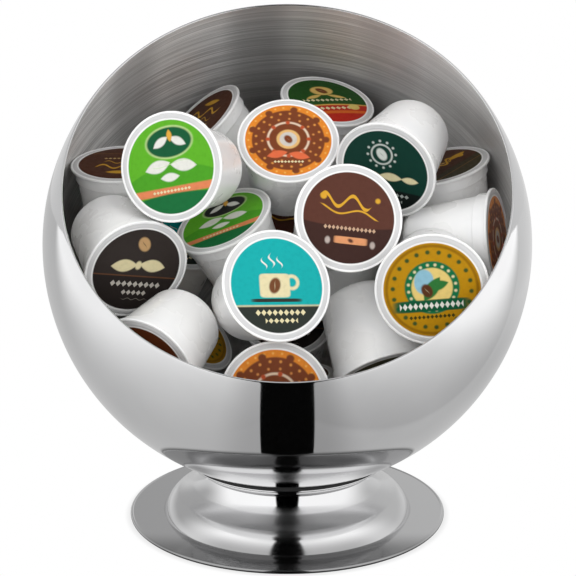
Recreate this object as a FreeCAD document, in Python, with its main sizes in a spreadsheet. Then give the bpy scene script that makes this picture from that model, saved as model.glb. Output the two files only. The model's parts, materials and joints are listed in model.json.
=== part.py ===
import FreeCAD
import Part
import Sketcher
import math
import os

# Coffee pod basket: a cut steel sphere on a spun pedestal, filled with loose single-serve pods.
# Millimetres, +Z up, mouth towards -Y. The origin is on the floor in the middle of the whole
# object's reach; the pedestal's axis stands a little in front of it, at onAxis.

Vector = FreeCAD.Vector
Placement = FreeCAD.Placement
Rotation = FreeCAD.Rotation

doc = FreeCAD.newDocument("CoffeePodBasket")

# Driving dimensions: alias, value, what it is
dimensions = [
    ("sphereDiameter", 240.0, "outside of the bowl"),
    ("bowlWall", 1.0, "bowl sheet"),
    ("centreHeight", 138.5, "bowl centre above the floor"),
    ("axisForward", 3.1, "pedestal's axis and bowl centre in front of the origin"),
    ("mouthTilt", 40.4, "rise of the mouth's normal above level"),
    ("mouthOffset", 62.0, "mouth plane from the bowl centre"),
    ("mouthRound", 0.4, "rounding of the mouth's edges"),
    ("boltHole", 6.6, "hole for the centre bolt"),
    ("seatGap", 1.2, "bowl to pedestal dish, filled by the gasket"),
    ("seatSlack", 0.05, "clearance on each side of the gasket"),
    ("gasketRadius", 50.2, "outside of the seat gasket"),
    ("footSheet", 0.8, "pedestal sheet"),
    ("lipRadius", 50.0, "pedestal's top lip"),
    ("coveRadius", 16.0, "hollow under the lip"),
    ("waistRadius", 44.5, "narrowest part of the neck"),
    ("waistHeight", 23.2, "height of the waist"),
    ("flareRadius", 24.6, "hollow flare of the neck"),
    ("creaseRadius", 52.5, "crease between neck and dome"),
    ("creaseHeight", 12.6, "height of the crease"),
    ("domeRadius", 16.4, "rounding of the dome"),
    ("skirtRadius", 64.2, "dome where it meets the flange"),
    ("flangeTop", 1.6, "upper face of the flange"),
    ("rollRadius", 1.0, "rolled edge of the flange"),
    ("flangeReach", 80.3, "centre of the rolled edge"),
    ("padRadius", 6.0, "foot pad"),
    ("padRing", 72.5, "circle of the foot pads"),
    ("headDiameter", 12.0, "bolt head"),
    ("headHeight", 3.3, "bolt head"),
    ("socketSize", 4.0, "hexagon socket across its corners"),
    ("socketDepth", 2.0, "hexagon socket"),
    ("boltDiameter", 6.0, "bolt shank"),
    ("boltLength", 15.0, "bolt shank"),
    ("washerDiameter", 18.0, "washer inside the bowl"),
    ("washerThickness", 1.2, "washer inside the bowl"),
    ("plateDiameter", 40.0, "clamp plate under the dish"),
    ("plateThickness", 2.0, "clamp plate under the dish"),
    ("lockWasherDiameter", 11.0, "spring washer"),
    ("lockWasherThickness", 1.0, "spring washer"),
    ("nutCorner", 11.5, "nut across its corners"),
    ("nutHeight", 5.0, "nut"),
    ("podHeight", 44.0, "pod over its lid"),
    ("lidThickness", 0.3, "foil lid"),
    ("lidRadius", 24.4, "foil lid"),
    ("rimRadius", 25.5, "pod's rim"),
    ("rimThickness", 1.5, "pod's rim"),
    ("collarRadius", 23.3, "pod's collar under the rim"),
    ("collarDrop", 7.5, "collar's foot below the lid"),
    ("bodyRadius", 22.4, "pod's body under the collar"),
    ("baseRadius", 19.0, "pod's body above its rounded base"),
    ("baseRound", 4.5, "rounding of the base"),
    ("recessRadius", 12.5, "recess in the base"),
    ("recessDepth", 1.0, "recess in the base"),
]

sheet = doc.addObject("Spreadsheet::Sheet", "Sizes")
for row, (alias, value, note) in enumerate(dimensions, start=1):
    sheet.set(f"A{row}", alias)
    sheet.set(f"B{row}", str(value))
    sheet.set(f"C{row}", note)
    sheet.setAlias(f"B{row}", alias)
doc.recompute()


# Each size is a pair: its value now, and the expression that keeps it bound to the sheet.
def size(alias):
    return float(sheet.get(alias)), f"Sizes.{alias}"


def plus(first, second):
    return first[0] + second[0], f"({first[1]} + {second[1]})"


def minus(first, second):
    return first[0] - second[0], f"({first[1]} - {second[1]})"


def half(whole):
    return whole[0] / 2, f"({whole[1]} / 2)"


def sphereHeight(radius, reach):
    """Height of the underside of a sphere about the bowl's centre, at a reach from the axis."""
    centre = size("centreHeight")
    drop = math.sqrt(radius[0] ** 2 - reach[0] ** 2)
    return centre[0] - drop, f"({centre[1]} - sqrt({radius[1]} * {radius[1]} - {reach[1]} * {reach[1]}))"


nothing = (0.0, "0")
outerRadius = half(size("sphereDiameter"))
innerRadius = minus(outerRadius, size("bowlWall"))
holeRadius = half(size("boltHole"))
mouthAngle = math.radians(size("mouthTilt")[0])
mouthNormal = Vector(0, -math.cos(mouthAngle), math.sin(mouthAngle))
mouthUp = Vector(0, math.sin(mouthAngle), math.cos(mouthAngle))


def onAxis(height):
    """The point of the pedestal's axis at a height above the floor."""
    return Vector(0, -size("axisForward")[0], height)


bowlCentre = onAxis(size("centreHeight")[0])


def bind(thing, **sizes):
    for field, amount in sizes.items():
        thing.setExpression(field, amount[1])


def bulgePoint(start, end, radius, side):
    """A point half way along the arc from start to end that swells to the given side."""
    chord = end - start
    reach = math.sqrt(max(radius ** 2 - chord.Length ** 2 / 4, 0))
    across = Vector(-chord.y, chord.x, 0).normalize()
    return (start + end) * 0.5 + across * side * (radius - reach)


def drawSection(sketch, corners):
    """A closed outline of (radius, height, bend) corners; bend is None or (arc radius, side)."""
    spots = [Vector(radius[0], height[0], 0) for radius, height, bend in corners]
    edges = []
    for index, (radius, height, bend) in enumerate(corners):
        start, end = spots[index], spots[(index + 1) % len(spots)]
        if bend is None:
            edge = sketch.addGeometry(Part.LineSegment(start, end))
            edges.append((edge, 1, 2))
            continue
        middle = bulgePoint(start, end, bend[0][0], bend[1])
        if bend[1] < 0:
            edge = sketch.addGeometry(Part.Arc(start, middle, end))
            edges.append((edge, 1, 2))
        else:
            edge = sketch.addGeometry(Part.Arc(end, middle, start))
            edges.append((edge, 2, 1))
    for index, (edge, first, last) in enumerate(edges):
        following = edges[(index + 1) % len(edges)]
        sketch.addConstraint(Sketcher.Constraint("Coincident", edge, last, following[0], following[1]))
    for (edge, first, last), (radius, height, bend) in zip(edges, corners):
        if radius == nothing:
            sketch.addConstraint(Sketcher.Constraint("PointOnObject", edge, first, -2))
        else:
            place = Sketcher.Constraint("DistanceX", -1, 1, edge, first, radius[0])
            sketch.setExpression(f"Constraints[{sketch.addConstraint(place)}]", radius[1])
        if height == nothing:
            sketch.addConstraint(Sketcher.Constraint("PointOnObject", edge, first, -1))
        else:
            place = Sketcher.Constraint("DistanceY", -1, 1, edge, first, height[0])
            sketch.setExpression(f"Constraints[{sketch.addConstraint(place)}]", height[1])
        if bend is not None:
            number = sketch.addConstraint(Sketcher.Constraint("Radius", edge, bend[0][0]))
            sketch.setExpression(f"Constraints[{number}]", bend[0][1])


def turnedBody(label, corners):
    """A body turned about the pedestal's axis from one section sketched on its XZ plane."""
    body = doc.addObject("PartDesign::Body", label)
    plane = next(item for item in body.Origin.OriginFeatures if item.Role == "XZ_Plane")
    sketch = body.newObject("Sketcher::SketchObject", label + "_section")
    sketch.AttachmentSupport = (plane, [""])
    sketch.MapMode = "FlatFace"
    drawSection(sketch, corners)
    turn = body.newObject("PartDesign::Revolution", label + "_turn")
    turn.Profile = sketch
    turn.ReferenceAxis = (sketch, ["V_Axis"])
    turn.Angle = 360
    body.Placement = Placement(onAxis(0), Rotation())
    body.Label = label
    return body


def primitive(kind, name, place=Vector(), turn=Rotation(), **sizes):
    thing = doc.addObject(kind, name)
    bind(thing, **sizes)
    thing.Placement = Placement(place, turn)
    return thing


def cut(label, base, tool):
    result = doc.addObject("Part::Cut", label)
    result.Base = base
    result.Tool = tool
    result.Label = label
    return result


def ring(label, height, thickness, outer, inner):
    """A flat ring about the pedestal's axis with its lower face at the height."""
    disc = primitive("Part::Cylinder", label + "_disc", onAxis(height),
                     Radius=outer, Height=thickness)
    bore = primitive("Part::Cylinder", label + "_bore", onAxis(height),
                     Radius=inner, Height=thickness)
    return cut(label, disc, bore)


def makeBowl():
    """The bowl: a spherical shell cut off square to the mouth's normal, with a bolt hole."""
    outside = primitive("Part::Sphere", "bowl_outside", bowlCentre, Radius=outerRadius)
    inside = primitive("Part::Sphere", "bowl_inside", bowlCentre, Radius=innerRadius)
    shell = cut("bowl_sphere", outside, inside)
    tilt = Rotation(Vector(1, 0, 0), Vector(0, 0, 1).cross(Vector(1, 0, 0)), mouthNormal, "ZXY")
    corner = bowlCentre + mouthNormal * size("mouthOffset")[0]
    corner = corner + tilt.multVec(Vector(-outerRadius[0], -outerRadius[0], 0))
    above = primitive("Part::Box", "bowl_above_mouth", corner, tilt, Length=size("sphereDiameter"),
                      Width=size("sphereDiameter"), Height=outerRadius)
    opened = cut("bowl_opened", shell, above)
    bore = primitive("Part::Cylinder", "bowl_bore", onAxis(0),
                     Radius=holeRadius, Height=half(size("centreHeight")))
    drilled = cut("bowl_drilled", opened, bore)
    doc.recompute()
    rounded = doc.addObject("Part::Fillet", "bowl_shell")
    rounded.Base = drilled
    rim = size("mouthRound")[0]
    mouthEdges = [number for number, edge in enumerate(drilled.Shape.Edges, start=1)
                  if edge.Length > outerRadius[0] * 4]
    rounded.Edges = [(number, rim, rim) for number in mouthEdges]
    rounded.Label = "bowl_shell"
    return rounded


def makePedestal():
    """The pedestal: a dish under the bowl, a hollow neck, a dome and a flange, one spun sheet."""
    sheetMetal = size("footSheet")
    dish = plus(outerRadius, size("seatGap"))
    underDish = plus(dish, sheetMetal)
    lip, waist, crease = size("lipRadius"), size("waistRadius"), size("creaseRadius")
    skirt, reach, roll = size("skirtRadius"), size("flangeReach"), size("rollRadius")
    flange = size("flangeTop")
    underFlange = minus(flange, sheetMetal)
    insideWaist = minus(waist, sheetMetal)
    insideCrease = minus(crease, sheetMetal)
    waistHeight, creaseHeight = size("waistHeight"), size("creaseHeight")
    outsideRoll = plus(reach, roll)
    corners = [
        (holeRadius, sphereHeight(dish, holeRadius), (dish, -1)),
        (lip, sphereHeight(dish, lip), None),
        (lip, minus(sphereHeight(dish, lip), sheetMetal), (size("coveRadius"), -1)),
        (waist, waistHeight, (size("flareRadius"), -1)),
        (crease, creaseHeight, (size("domeRadius"), 1)),
        (skirt, flange, None),
        (reach, flange, None),
        (reach, plus(roll, roll), (roll, 1)),
        (outsideRoll, roll, (roll, 1)),
        (reach, nothing, None),
        (reach, underFlange, None),
        (minus(skirt, sheetMetal), underFlange, (size("domeRadius"), -1)),
        (insideCrease, minus(creaseHeight, half(sheetMetal)), (size("flareRadius"), 1)),
        (insideWaist, minus(waistHeight, half(sheetMetal)), None),
        (insideWaist, sphereHeight(underDish, insideWaist), (underDish, 1)),
        (holeRadius, sphereHeight(underDish, holeRadius), None),
    ]
    return turnedBody("pedestal_foot", corners)


def makeGasket():
    """The black seat gasket: a thin dish between the bowl and the pedestal, showing at the lip."""
    top = plus(outerRadius, size("seatSlack"))
    bottom = minus(plus(outerRadius, size("seatGap")), size("seatSlack"))
    edge = size("gasketRadius")
    corners = [
        (holeRadius, sphereHeight(bottom, holeRadius), (bottom, -1)),
        (edge, sphereHeight(bottom, edge), None),
        (edge, sphereHeight(top, edge), (top, 1)),
        (holeRadius, sphereHeight(top, holeRadius), None),
    ]
    return turnedBody("seat_gasket", corners)


def makeFixing():
    """The centre bolt with its washers, clamp plate and nut, stacked along the pedestal's axis."""
    washerRadius = half(size("washerDiameter"))
    washerFoot = sphereHeight(innerRadius, washerRadius)[0]
    headFoot = washerFoot + size("washerThickness")[0]
    boltRadius = half(size("boltDiameter"))
    dishFoot = size("centreHeight")[0] - outerRadius[0] - size("seatGap")[0] - size("footSheet")[0]
    plateFoot = dishFoot - size("plateThickness")[0]
    lockFoot = plateFoot - size("lockWasherThickness")[0]
    nutFoot = lockFoot - size("nutHeight")[0]

    head = primitive("Part::Cylinder", "bolt_head", onAxis(headFoot),
                     Radius=half(size("headDiameter")), Height=size("headHeight"))
    shank = primitive("Part::Cylinder", "bolt_shank", onAxis(headFoot - size("boltLength")[0]),
                      Radius=boltRadius, Height=size("boltLength"))
    blank = doc.addObject("Part::Fuse", "bolt_blank")
    blank.Base = head
    blank.Tool = shank
    socketFloor = headFoot + size("headHeight")[0] - size("socketDepth")[0]
    socket = primitive("Part::Prism", "bolt_socket", onAxis(socketFloor),
                       Circumradius=half(size("socketSize")), Height=size("socketDepth"))
    socket.Polygon = 6
    bolt = cut("centre_bolt", blank, socket)

    nutBlank = primitive("Part::Prism", "nut_blank", onAxis(nutFoot),
                         Circumradius=half(size("nutCorner")), Height=size("nutHeight"))
    nutBlank.Polygon = 6
    nutBore = primitive("Part::Cylinder", "nut_bore", onAxis(nutFoot),
                        Radius=boltRadius, Height=size("nutHeight"))
    return [
        bolt,
        ring("bowl_washer", washerFoot, size("washerThickness"), washerRadius, holeRadius),
        ring("clamp_plate", plateFoot, size("plateThickness"), half(size("plateDiameter")), holeRadius),
        ring("lock_washer", lockFoot, size("lockWasherThickness"),
             half(size("lockWasherDiameter")), holeRadius),
        cut("clamp_nut", nutBlank, nutBore),
    ]


def makeFootPads():
    """Four thin pads under the flange that keep the metal off the table."""
    pads = []
    padCount, firstPad = 4, 45
    for number in range(padCount):
        angle = math.radians(firstPad + 360 * number / padCount)
        place = onAxis(0) + Vector(math.cos(angle), math.sin(angle), 0) * size("padRing")[0]
        pads.append(primitive("Part::Cylinder", f"foot_pad_{number + 1}", place,
                              Radius=size("padRadius"),
                              Height=minus(size("flangeTop"), size("footSheet"))))
    group = doc.addObject("Part::Compound", "foot_pads")
    group.Links = pads
    group.Label = "foot_pads"
    return group


# Where each pod lies, from the mouth's centre: across, up its face, depth below it (mm),
# then the heading and the rise of the lid's normal (degrees). Front pods first.
podPlaces = {
    "leaf_green_pod": (-53.5, 6.0, 1.0, -20, 7),
    "ring_orange_pod": (0.5, 44.5, 33.5, 2, 41),
    "pine_green_pod": (47.0, 20.5, 26.0, -26, -22),
    "wave_brown_pod": (28.5, -12.0, 16.0, 10, 19),
    "teal_pod": (-4.5, -49.0, 13.5, 21, 22),
    "mustard_pod": (64.0, -52.5, 11.5, -6, -4),
    "charcoal_pod": (-70.5, -29.4, 34.3, 28, -20),
    "small_green_pod": (-32.0, 8.5, 50.5, -44, 57),
    "red_band_pod": (21.5, 88.5, 59.0, 24, 62),
    "gold_stripe_pod": (-46.0, 80.0, 64.0, -62, 46),
    "left_wall_pod": (-84.0, 41.0, 48.5, 0, 75),
    "right_wall_pod": (79.5, 48.5, 61.5, -50, 71),
    "side_orange_pod": (103.0, -4.5, 48.5, 69, 8),
    "front_ring_pod": (-5.5, -88.0, 48.0, 2, 16),
    "lower_left_pod": (-65.0, -81.0, 33.0, -23, -17),
    "lower_right_pod": (46.0, -68.0, 69.0, 26, -50),
}

# The pods underneath, from the bowl's centre: x, y, z (mm), heading and rise (degrees)
buriedPlaces = {
    "floor_pod": (0.0, 12.0, -69.0, 0, 90),
    "back_floor_pod": (0.0, 52.4, -49.7, 0, 50),
    "right_floor_pod": (49.0, 22.0, -49.0, -65, 45),
    "left_floor_pod": (-49.0, 22.0, -49.0, 65, 45),
    "back_wall_pod": (0.0, 72.5, 0.0, 0, 5),
    "middle_pod": (28.0, 34.0, 0.0, 0, 80),
    "left_back_pod": (-58.5, 50.0, -5.0, 40, 60),
}


def podPlacement(top, heading, rise):
    """A pod stands on its base at the origin; this puts its lid's centre at top, facing out."""
    turn, lift = math.radians(heading), math.radians(rise)
    facing = Vector(math.cos(lift) * math.sin(turn), -math.cos(lift) * math.cos(turn), math.sin(lift))
    across = Vector(math.cos(turn), math.sin(turn), 0)
    rotation = Rotation(across, facing.cross(across), facing, "ZXY")
    return Placement(top - facing * size("podHeight")[0], rotation)


def sharedSection(name, corners):
    """One section on the XZ plane, turned into many like pods."""
    sketch = doc.addObject("Sketcher::SketchObject", name)
    sketch.Placement = Placement(Vector(), Rotation(Vector(1, 0, 0), 90))
    drawSection(sketch, corners)
    return sketch


def makePods():
    """Each pod is a sealed cup, modelled full, and its foil lid."""
    height, foil = size("podHeight"), size("lidThickness")
    rimFoot = minus(height, size("rimThickness"))
    collarFoot = minus(height, size("collarDrop"))
    cupSection = sharedSection("cup_section", [
        (nothing, size("recessDepth"), None),
        (size("recessRadius"), size("recessDepth"), None),
        (size("recessRadius"), nothing, None),
        (minus(size("baseRadius"), size("baseRound")), nothing, (size("baseRound"), -1)),
        (size("baseRadius"), size("baseRound"), None),
        (size("bodyRadius"), collarFoot, None),
        (size("collarRadius"), collarFoot, None),
        (size("collarRadius"), rimFoot, None),
        (size("rimRadius"), rimFoot, None),
        (size("rimRadius"), height, None),
        (size("lidRadius"), height, None),
        (size("lidRadius"), minus(height, foil), None),
        (nothing, minus(height, foil), None),
    ])
    lidSection = sharedSection("lid_section", [
        (nothing, minus(height, foil), None),
        (size("lidRadius"), minus(height, foil), None),
        (size("lidRadius"), height, None),
        (nothing, height, None),
    ])
    places = {}
    for name, (across, up, depth, heading, rise) in podPlaces.items():
        top = bowlCentre + Vector(across, 0, 0) + mouthUp * up
        top = top + mouthNormal * (size("mouthOffset")[0] - depth)
        places[name] = podPlacement(top, heading, rise)
    for name, (x, y, z, heading, rise) in buriedPlaces.items():
        places[name] = podPlacement(bowlCentre + Vector(x, y, z), heading, rise)
    pieces = []
    for name, place in places.items():
        for part, section in (("cup", cupSection), ("lid", lidSection)):
            piece = doc.addObject("Part::Revolution", f"{name}_{part}")
            piece.Source = section
            piece.Axis = Vector(0, 0, 1)
            piece.Base = Vector()
            piece.Angle = 360
            piece.Solid = True
            piece.Placement = place
            piece.Label = f"{name}_{part}"
            pieces.append(piece)
    return pieces


nodes = [makeBowl(), makePedestal(), makeGasket(), makeFootPads()] + makeFixing() + makePods()
doc.recompute()

for thing in doc.Objects:
    if "Invalid" in thing.State or "Error" in thing.State:
        raise RuntimeError(f"{thing.Label}: {thing.State} {thing.getStatusString()}")
for node in nodes:
    if node.Shape.isNull() or not node.Shape.isValid() or not node.Shape.Solids:
        raise RuntimeError(f"{node.Label} has no valid solid")

os.makedirs("parts", exist_ok=True)
for node in nodes:
    node.Shape.exportStep(os.path.join("parts", node.Label + ".step"))
    print(node.Label, len(node.Shape.Solids), round(node.Shape.Volume / 1000, 2), "cm3")
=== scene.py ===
import json
import math

import bmesh
import bpy
from mathutils import Matrix, Vector

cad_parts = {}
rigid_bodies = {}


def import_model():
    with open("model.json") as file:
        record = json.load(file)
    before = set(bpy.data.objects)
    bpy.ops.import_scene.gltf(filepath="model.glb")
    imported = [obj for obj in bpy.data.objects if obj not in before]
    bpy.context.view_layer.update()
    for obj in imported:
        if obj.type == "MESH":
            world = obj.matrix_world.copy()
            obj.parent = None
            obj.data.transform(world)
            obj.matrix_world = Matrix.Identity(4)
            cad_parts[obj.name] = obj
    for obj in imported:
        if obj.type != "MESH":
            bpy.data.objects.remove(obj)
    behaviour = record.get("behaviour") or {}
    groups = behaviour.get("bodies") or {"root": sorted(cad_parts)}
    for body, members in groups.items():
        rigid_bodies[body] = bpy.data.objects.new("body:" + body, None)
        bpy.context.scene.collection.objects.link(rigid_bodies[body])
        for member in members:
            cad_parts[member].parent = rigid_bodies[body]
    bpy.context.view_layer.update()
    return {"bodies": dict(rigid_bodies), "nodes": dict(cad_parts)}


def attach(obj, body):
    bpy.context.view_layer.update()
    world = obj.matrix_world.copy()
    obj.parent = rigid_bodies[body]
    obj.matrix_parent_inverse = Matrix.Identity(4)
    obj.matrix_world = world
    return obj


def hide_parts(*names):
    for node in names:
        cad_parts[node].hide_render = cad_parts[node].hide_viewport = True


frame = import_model()
nodes = frame["nodes"]
print("frame loaded:", len(nodes), "nodes")

mm = 0.001
axisForward = 3.1   # mm from the origin forward to the pedestal's axis and the bowl's centre
segments = {"bowl": 256, "pod": 128, "small": 64}   # vertices round each turned mesh


# Meshes
def newMesh(name, vertices, faces):
    mesh = bpy.data.meshes.new(name)
    mesh.from_pydata(vertices, [], faces)
    mesh.update()
    return mesh


def addObject(name, data, *materials):
    thing = bpy.data.objects.new(name, data)
    bpy.context.scene.collection.objects.link(thing)
    for material in materials:
        data.materials.append(material)
    return thing


def lathe(name, profile, count, closed=False):
    # profile: (radius, height) in mm, turned about Z; a radius of 0 makes one pole vertex
    vertices, rings = [], []
    for radius, height in profile:
        if radius < 1e-6:
            rings.append([len(vertices)] * count)
            vertices.append((0.0, 0.0, height * mm))
            continue
        rings.append(list(range(len(vertices), len(vertices) + count)))
        for step in range(count):
            angle = 2 * math.pi * step / count
            x, y = radius * mm * math.cos(angle), radius * mm * math.sin(angle)
            vertices.append((x, y, height * mm))
    nextRings = rings[1:] + rings[:1] if closed else rings[1:]
    faces = []
    for first, second in zip(rings, nextRings):
        for step in range(count):
            after = (step + 1) % count
            face = []
            for corner in (first[step], first[after], second[after], second[step]):
                if corner not in face:
                    face.append(corner)
            if len(face) > 2:
                faces.append(face)
    mesh = newMesh(name, vertices, faces)
    work = bmesh.new()
    work.from_mesh(mesh)
    bmesh.ops.recalc_face_normals(work, faces=work.faces)
    work.to_mesh(mesh)
    work.free()
    mesh.shade_smooth()
    mesh.set_sharp_from_angle(angle=math.radians(32))
    return mesh


def arcBetween(start, end, radius, side, steps):
    # side 1 keeps the centre to the right of the way from start to end, -1 to the left
    (x0, y0), (x1, y1) = start, end
    dx, dy = x1 - x0, y1 - y0
    span = math.hypot(dx, dy)
    rise = math.sqrt(max(radius * radius - span * span / 4, 0.0))
    cx = (x0 + x1) / 2 + side * dy / span * rise
    cy = (y0 + y1) / 2 - side * dx / span * rise
    a0 = math.atan2(y0 - cy, x0 - cx)
    a1 = math.atan2(y1 - cy, x1 - cx)
    turn = (a1 - a0 + math.pi) % (2 * math.pi) - math.pi
    points = []
    for step in range(1, steps + 1):
        angle = a0 + turn * step / steps
        points.append((cx + radius * math.cos(angle), cy + radius * math.sin(angle)))
    return points


def drillOut(thing, radius, top):
    # cuts a round hole along the vertical axis out of the lowest part of a mesh
    drill = lathe("drill", [(0, -1), (radius, -1), (radius, top), (0, top)], segments["small"])
    cutter = addObject("drill", drill)
    cutter.location.y = -axisForward * mm
    bpy.context.view_layer.update()
    modifier = thing.modifiers.new("hole", "BOOLEAN")
    modifier.operation = "DIFFERENCE"
    modifier.solver = "EXACT"
    modifier.object = cutter
    ready = thing.evaluated_get(bpy.context.evaluated_depsgraph_get())
    result = bpy.data.meshes.new_from_object(ready)
    thing.modifiers.remove(modifier)
    thing.data = result
    bpy.data.objects.remove(cutter)


# Materials
class NodeSet:
    # short ways to add nodes to one tree and join them
    def __init__(self, tree):
        self.tree = tree
        tree.nodes.clear()

    def add(self, kind, **settings):
        node = self.tree.nodes.new(kind)
        for key, value in settings.items():
            setattr(node, key, value)
        return node

    def link(self, source, target):
        self.tree.links.new(source, target)

    def feed(self, socket, value):
        if isinstance(value, bpy.types.NodeSocket):
            self.link(value, socket)
        else:
            socket.default_value = value

    def math(self, operation, first, second=0.0, third=None):
        node = self.add("ShaderNodeMath", operation=operation)
        self.feed(node.inputs[0], first)
        self.feed(node.inputs[1], second)
        if third is not None:
            self.feed(node.inputs[2], third)
        return node.outputs[0]

    def product(self, first, *others):
        for other in others:
            first = self.math("MULTIPLY", first, other)
        return first

    def vector(self, operation, first, second=None):
        node = self.add("ShaderNodeVectorMath", operation=operation)
        self.feed(node.inputs[0], first)
        if second is not None:
            self.feed(node.inputs[1], second)
        return node.outputs["Value"] if operation in ("LENGTH", "DOT_PRODUCT") else node.outputs[0]

    def split(self, vector):
        node = self.add("ShaderNodeSeparateXYZ")
        self.link(vector, node.inputs[0])
        return node.outputs

    def join(self, *parts):
        node = self.add("ShaderNodeCombineXYZ")
        for socket, part in zip(node.inputs, parts):
            self.feed(socket, part)
        return node.outputs[0]

    def span(self, value, low, high, outLow=0.0, outHigh=1.0):
        node = self.add("ShaderNodeMapRange", interpolation_type="SMOOTHSTEP")
        self.feed(node.inputs["Value"], value)
        limits = {"From Min": low, "From Max": high, "To Min": outLow, "To Max": outHigh}
        for key, number in limits.items():
            self.feed(node.inputs[key], number)
        return node.outputs[0]

    def spanMm(self, value, limits, outLow=0.0, outHigh=1.0):
        # the same between two places given in millimetres
        return self.span(value, limits[0] * mm, limits[1] * mm, outLow, outHigh)

    def blend(self, share, first, second):
        node = self.add("ShaderNodeMix", data_type="FLOAT")
        for index, value in ((0, share), (2, first), (3, second)):
            self.feed(node.inputs[index], value)
        return node.outputs[0]

    def noise(self, vector, scale, detail=2.0, roughness=0.5):
        node = self.add("ShaderNodeTexNoise")
        self.link(vector, node.inputs["Vector"])
        node.inputs["Scale"].default_value = scale
        node.inputs["Detail"].default_value = detail
        node.inputs["Roughness"].default_value = roughness
        return node.outputs["Fac"]

    def glow(self, kind, strength=1.0):
        # a white emission or background
        node = self.add(kind)
        node.inputs["Color"].default_value = (1, 1, 1, 1)
        self.feed(node.inputs["Strength"], strength)
        return node.outputs[0]

    def choose(self, share, first, second):
        # one shader where the share is 0, the other where it is 1
        node = self.add("ShaderNodeMixShader")
        for socket, value in zip(node.inputs, (share, first, second)):
            self.link(value, socket)
        return node.outputs[0]


class Paint(NodeSet):
    # a material: masks are sockets from 0 to 1, and colours are laid one on another
    def __init__(self, name):
        self.material = bpy.data.materials.new(name)
        self.material.use_nodes = True
        super().__init__(self.material.node_tree)
        self.output = self.add("ShaderNodeOutputMaterial")
        self.shader = self.add("ShaderNodeBsdfPrincipled")
        self.link(self.shader.outputs["BSDF"], self.output.inputs["Surface"])
        self.colour = None

    def object(self):
        return self.add("ShaderNodeTexCoord").outputs["Object"]

    def place(self, vector, centre=(0, 0), turn=0.0, scale=(1, 1)):
        node = self.add("ShaderNodeMapping", vector_type="TEXTURE")
        self.link(vector, node.inputs["Vector"])
        node.inputs["Location"].default_value = (centre[0], centre[1], 0)
        node.inputs["Rotation"].default_value = (0, 0, math.radians(turn))
        node.inputs["Scale"].default_value = (scale[0], scale[1], 1)
        return node.outputs[0]

    def cover(self, mask, colour):
        if self.colour is None:
            self.colour = colour
            return
        node = self.add("ShaderNodeMix", data_type="RGBA")
        self.feed(node.inputs[0], mask)
        self.feed(node.inputs[6], self.colour)
        self.feed(node.inputs[7], colour)
        self.colour = node.outputs[2]

    def bump(self, height, distance, strength=1.0):
        node = self.add("ShaderNodeBump")
        node.inputs["Strength"].default_value = strength
        node.inputs["Distance"].default_value = distance
        self.link(height, node.inputs["Height"])
        return node.outputs[0]

    def finish(self, **sockets):
        self.feed(self.shader.inputs["Base Color"], self.colour)
        for key, value in sockets.items():
            self.feed(self.shader.inputs[key.replace("_", " ")], value)
        return self.material


def shade(red, green, blue):
    # a colour given as seen on screen, 0 to 255, as scene light
    linear = []
    for value in (red, green, blue):
        value = value / 255
        linear.append(value / 12.92 if value < 0.04045 else ((value + 0.055) / 1.055) ** 2.4)
    return (*linear, 1.0)


def tinted(tone, share=1.0):
    return (*[value * share for value in tone], 1.0)


def polishedSteel(name, look):
    # mirror steel with faint spinning marks round Z and slow changes of tone
    paint = Paint(name)
    here = paint.object()
    x, y, z = paint.split(here)
    radius = paint.vector("LENGTH", paint.join(x, y))
    marks = paint.noise(paint.join(radius, z), look["spin"], 3.0, 0.6)
    cloud = paint.noise(here, look["cloud"], 3.0)
    tone, rough = look["tone"], look["roughness"]
    paint.cover(None, tinted(tone))
    paint.cover(paint.span(cloud, 0.35, 0.7), tinted(tone, look["cloudTone"]))
    uneven = paint.math("ADD", marks, cloud)
    roughness = paint.span(uneven, 0.6, 1.4, rough * 0.7, rough * 1.3)
    if "flangeShadeTone" in look:
        # the flange's colour has painted shade, darkest in front, and its finish is hazier; the
        # valley above it is satin
        skirt = look["skirt"]
        flange = paint.spanMm(radius, (skirt - 4.0, skirt))
        paint.cover(flange, tinted(tone, look["flangeShadeTone"]))
        front = paint.spanMm(y, look["shadeFrontFrom"], 0.0, look["shadeFrontShare"])
        paint.cover(paint.product(flange, front), tinted(tone, look["shadeFrontTone"]))
        roughness = paint.math("MULTIPLY_ADD", flange, look["flangeHaze"], roughness)
        low = paint.spanMm(z, look["valleyHeight"])
        valley = paint.product(paint.spanMm(radius, look["valleyRadius"]), low)
        roughness = paint.math("MULTIPLY_ADD", valley, look["valleyHaze"], roughness)
    return paint.finish(Metallic=1.0, Roughness=roughness, Normal=paint.bump(marks, 0.000004, 0.4))


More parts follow.
